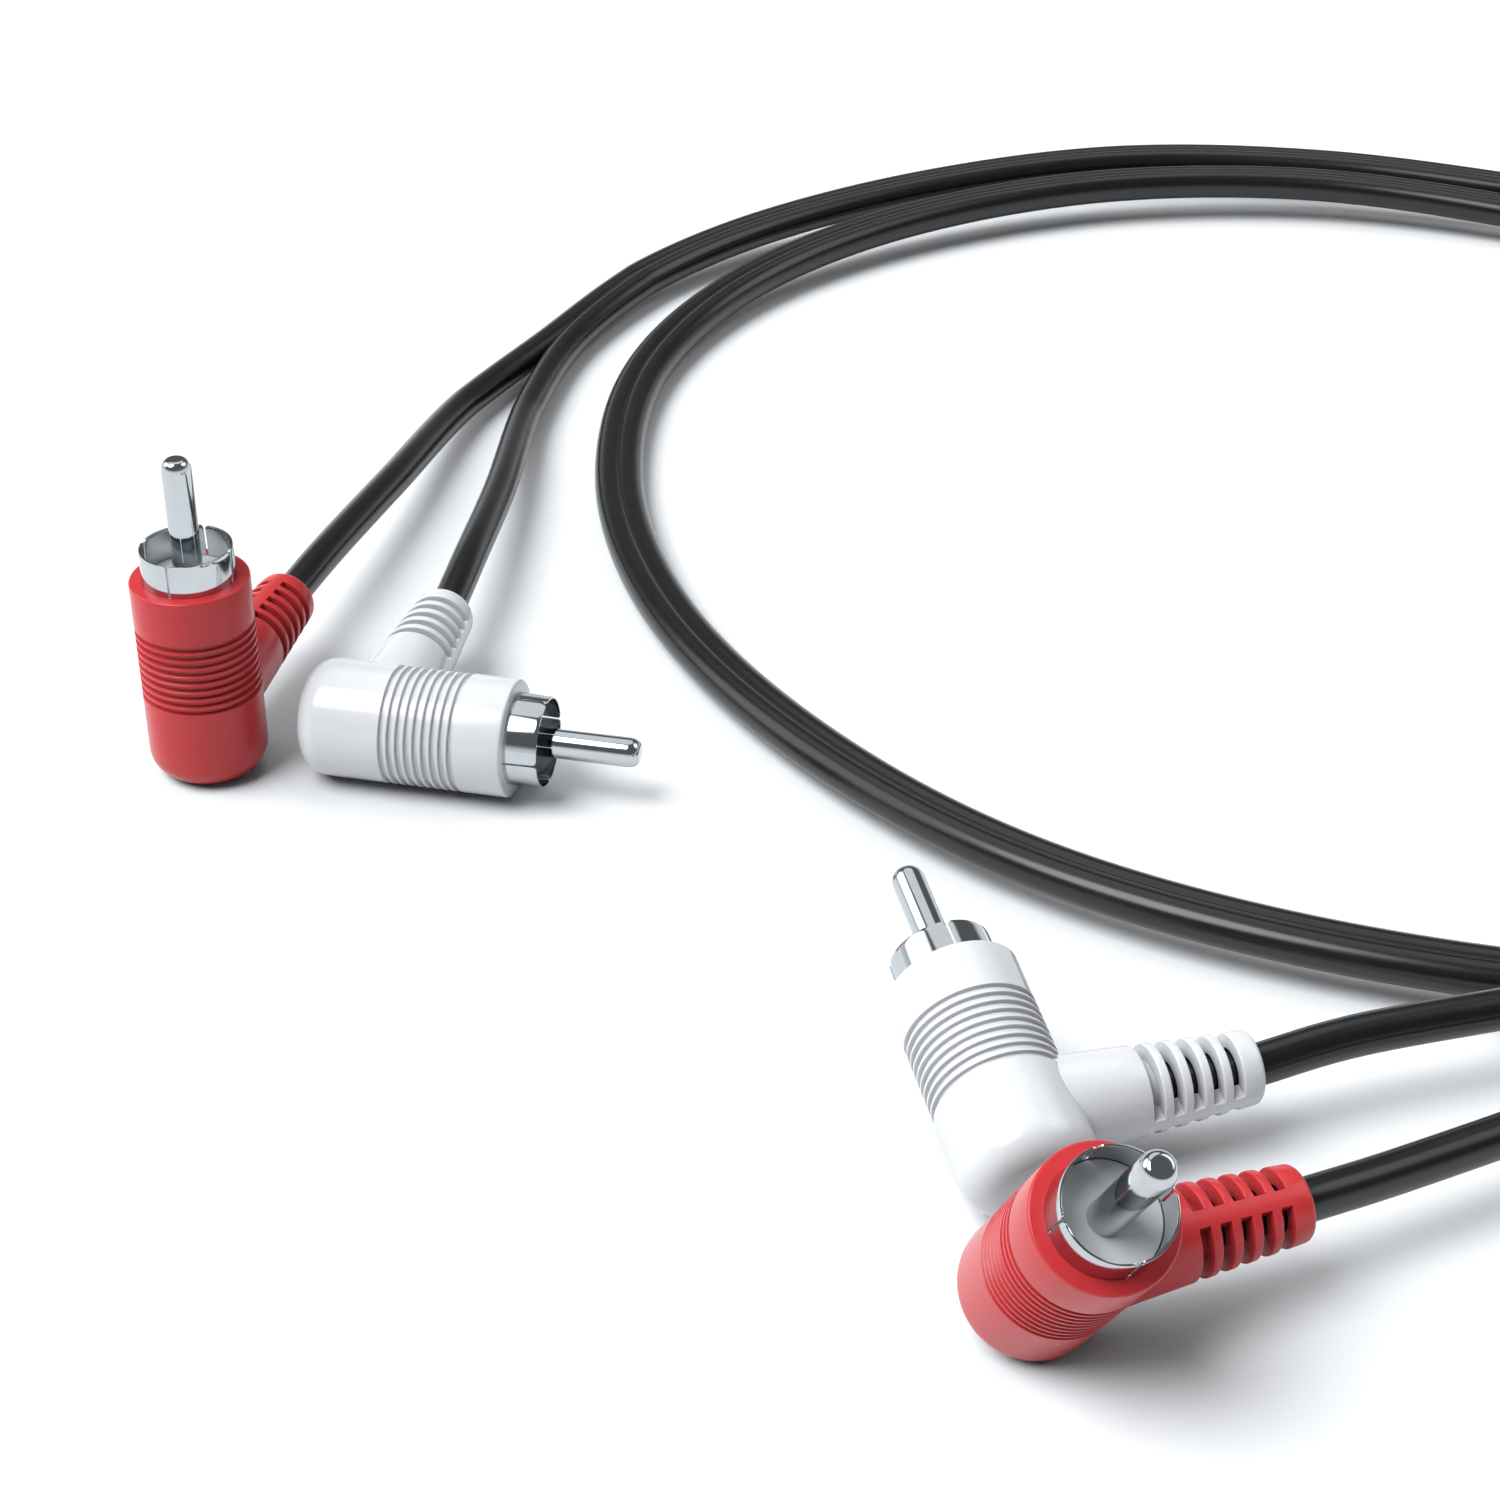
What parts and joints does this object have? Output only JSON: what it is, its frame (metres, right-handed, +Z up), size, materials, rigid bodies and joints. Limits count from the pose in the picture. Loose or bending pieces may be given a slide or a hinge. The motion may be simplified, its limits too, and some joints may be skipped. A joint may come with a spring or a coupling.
{
  "type": "stereo audio cable",
  "caption": "Stereo phono lead: joined round cords running between red and white right-angle plugs with slit metal collars and centre pins.",
  "frame": {"origin": "on the floor under the middle of the box of the four plugs", "axes": "+Z up; +Y away from the viewer, along the longer side of the group of plugs; +X to the right"},
  "size_m": [0.2477, 0.2792, 0.0371],
  "materials": {
    "red_moulding": "satin gloss moulded red",
    "white_moulding": "satin gloss moulded white",
    "cord_jacket": "satin black flexible jacket",
    "nickel": "bright plated, mirror-like",
    "insulator": "smooth pale grey",
    "inner_resin": "natural, hidden",
    "copper": "bare copper, hidden"
  },
  "bodies": {
    "root": {"red_plug_1_housing": "red_moulding", "red_plug_1_collar": "nickel", "red_plug_1_insulator": "insulator", "red_plug_1_pin": "nickel", "red_plug_1_inner_mould": "inner_resin", "red_plug_1_cord_end": "cord_jacket", "red_plug_1_core_wire": "copper", "red_plug_1_core_sleeve": "inner_resin", "red_plug_1_shield_pigtail": "copper", "white_plug_1_housing": "white_moulding", "white_plug_1_collar": "nickel", "white_plug_1_insulator": "insulator", "white_plug_1_pin": "nickel", "white_plug_1_inner_mould": "inner_resin", "white_plug_1_cord_end": "cord_jacket", "white_plug_1_core_wire": "copper", "white_plug_1_core_sleeve": "inner_resin", "white_plug_1_shield_pigtail": "copper", "white_plug_2_housing": "white_moulding", "white_plug_2_collar": "nickel", "white_plug_2_insulator": "insulator", "white_plug_2_pin": "nickel", "white_plug_2_inner_mould": "inner_resin", "white_plug_2_cord_end": "cord_jacket", "white_plug_2_core_wire": "copper", "white_plug_2_core_sleeve": "inner_resin", "white_plug_2_shield_pigtail": "copper", "red_plug_2_housing": "red_moulding", "red_plug_2_collar": "nickel", "red_plug_2_insulator": "insulator", "red_plug_2_pin": "nickel", "red_plug_2_inner_mould": "inner_resin", "red_plug_2_cord_end": "cord_jacket", "red_plug_2_core_wire": "copper", "red_plug_2_core_sleeve": "inner_resin", "red_plug_2_shield_pigtail": "copper", "red_lead_1": "cord_jacket", "white_lead_1": "cord_jacket", "white_lead_2": "cord_jacket", "red_lead_2": "cord_jacket", "twin_lead": "cord_jacket"}
  },
  "joints": []
}
